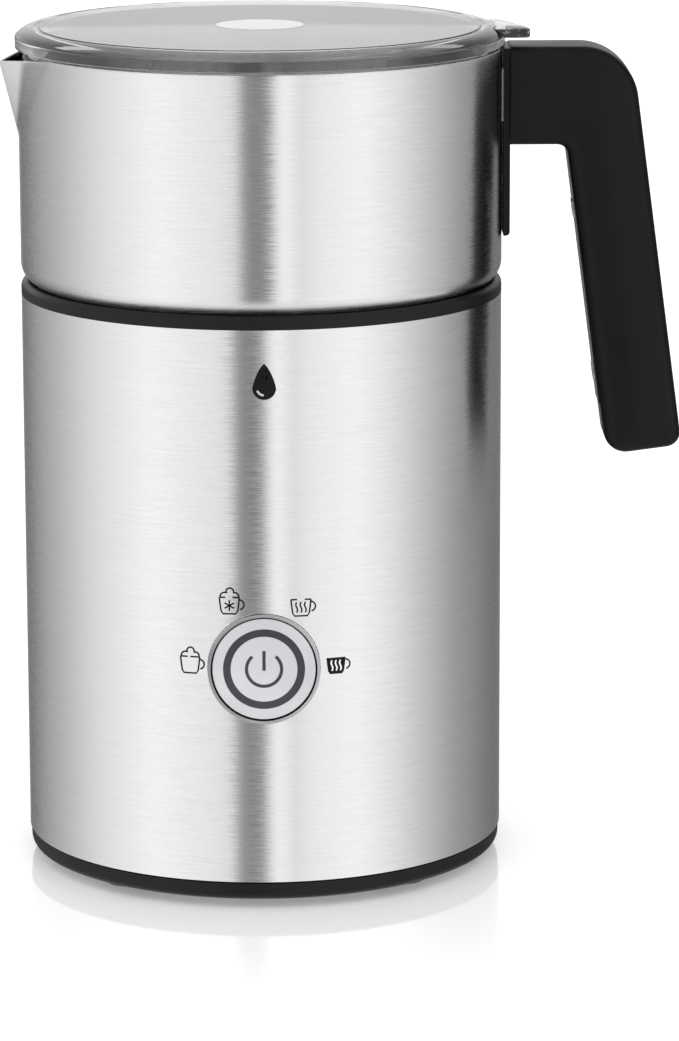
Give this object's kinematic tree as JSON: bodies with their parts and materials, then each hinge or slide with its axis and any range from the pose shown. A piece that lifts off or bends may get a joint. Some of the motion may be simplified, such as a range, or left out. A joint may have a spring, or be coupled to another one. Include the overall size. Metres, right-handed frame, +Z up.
{
  "type": "milk frother",
  "caption": "Induction milk frother: round power base with a push button, lift-off steel jug with spout and handle, clear lid and magnetic whisk.",
  "frame": {"origin": "on the base's axis, at the level of the surface that the four feet stand on", "axes": "+Z up; the button faces -Y, the spout points to -X, the handle to +X and the cord gland to +Y"},
  "size_m": [0.1839, 0.1333, 0.2274],
  "materials": {
    "brushed_sleeve": "brushed round the sleeve",
    "jug_steel": "brushed round the jug",
    "black_ring": "satin black",
    "handle_black": "satin black, fine grain",
    "inner_plastic": "moulded, plain",
    "foot_rubber": "matt rubber",
    "clear_lid": "clear, glossy",
    "seal_silicone": "dark grey silicone",
    "inlay_steel": "bright satin",
    "bezel_chrome": "polished",
    "button_silver": "metallised satin",
    "light_window": "smoked window",
    "bright_steel": "bright",
    "zinc_steel": "zinc plated",
    "disc_steel": "turned",
    "whisk_plastic": "satin",
    "white_plastic": "acetal, satin",
    "magnet_nickel": "nickel plated",
    "ferrite": "sintered ferrite",
    "carrier_mica": "heat-resisting moulding",
    "copper_coil": "enamelled copper wire",
    "bronze": "sintered bronze",
    "board_green": "circuit board",
    "capacitor_sleeve": "shrunk sleeve",
    "capacitor_box": "moulded box",
    "sink_aluminium": "extruded",
    "chip_black": "moulded",
    "terminal_green": "moulded",
    "led_white": "lens"
  },
  "bodies": {
    "base": {"base_sleeve": "brushed_sleeve", "top_deck": "black_ring", "chassis": "inner_plastic", "bottom_pan": "black_ring", "foot_1": "foot_rubber", "foot_2": "foot_rubber", "foot_3": "foot_rubber", "foot_4": "foot_rubber", "base_screws": "zinc_steel", "deck_screws": "zinc_steel", "cord_gland": "foot_rubber", "coil_carrier": "carrier_mica", "induction_coil": "copper_coil", "ferrite_bars": "ferrite", "temperature_sensor": "bright_steel", "motor_bracket": "zinc_steel", "bracket_screws": "zinc_steel", "motor_can": "zinc_steel", "motor_endcap": "white_plastic", "motor_magnets": "ferrite", "front_bush": "bronze", "rear_bush": "bronze", "power_board": "board_green", "board_screws": "zinc_steel", "bulk_capacitor": "capacitor_sleeve", "filter_capacitor": "capacitor_box", "choke": "copper_coil", "heatsink": "sink_aluminium", "power_transistor": "chip_black", "terminal_block": "terminal_green", "fan_frame": "inner_plastic", "button_bezel": "bezel_chrome", "button_guide": "inner_plastic", "control_board": "board_green", "tact_switch": "chip_black", "status_leds": "led_white"},
    "jug": {"jug_body": "jug_steel", "jug_base_disc": "disc_steel", "whisk_pin": "bright_steel", "handle_bracket": "zinc_steel", "handle_rail": "handle_black", "handle_shell": "handle_black", "handle_cover": "handle_black", "handle_screws": "zinc_steel"},
    "lid": {"lid": "clear_lid", "lid_seal": "seal_silicone", "lid_inlay": "inlay_steel"},
    "whisk_bush": {"whisk_sleeve": "white_plastic"},
    "whisk": {"whisk_hub": "whisk_plastic", "whisk_magnets": "magnet_nickel", "whisk_coil": "bright_steel"},
    "drive": {"motor_shaft": "bright_steel", "armature": "copper_coil", "drive_rotor": "white_plastic", "drive_magnets": "magnet_nickel"},
    "fan": {"fan_rotor": "chip_black"},
    "button": {"button_cap": "button_silver", "light_ring": "light_window"},
    "tact": {"tact_plunger": "white_plastic"}
  },
  "joints": [
    {"name": "jug_lift", "type": "slide", "parent": "base", "child": "jug", "axis": [0, 0, 1], "range_m": [0, 0.1]},
    {"name": "lid_lift", "type": "slide", "parent": "jug", "child": "lid", "axis": [0, 0, 1], "range_m": [0, 0.04]},
    {"name": "whisk_lift", "type": "slide", "parent": "jug", "child": "whisk_bush", "axis": [0, 0, 1], "range_m": [0, 0.03]},
    {"name": "whisk_spin", "type": "hinge", "parent": "whisk_bush", "child": "whisk", "pos_m": [0, 0, 0.165], "axis": [0, 0, 1], "continuous": true},
    {"name": "drive_spin", "type": "hinge", "parent": "base", "child": "drive", "pos_m": [0, 0, 0.14], "axis": [0, 0, 1], "continuous": true},
    {"name": "fan_spin", "type": "hinge", "parent": "base", "child": "fan", "pos_m": [0, 0, 0.016], "axis": [0, 0, 1], "continuous": true},
    {"name": "button_press", "type": "slide", "parent": "base", "child": "button", "axis": [0, 1, 0], "range_m": [0, 0.0008], "stiffness_N_per_m": 900},
    {"name": "tact_press", "type": "slide", "parent": "base", "child": "tact", "axis": [0, 1, 0], "range_m": [0, 0.0008]}
  ],
  "couplings": [
    {"joint": "whisk_spin", "follows": "drive_spin", "ratio": 1},
    {"joint": "tact_press", "follows": "button_press", "ratio": 1}
  ]
}
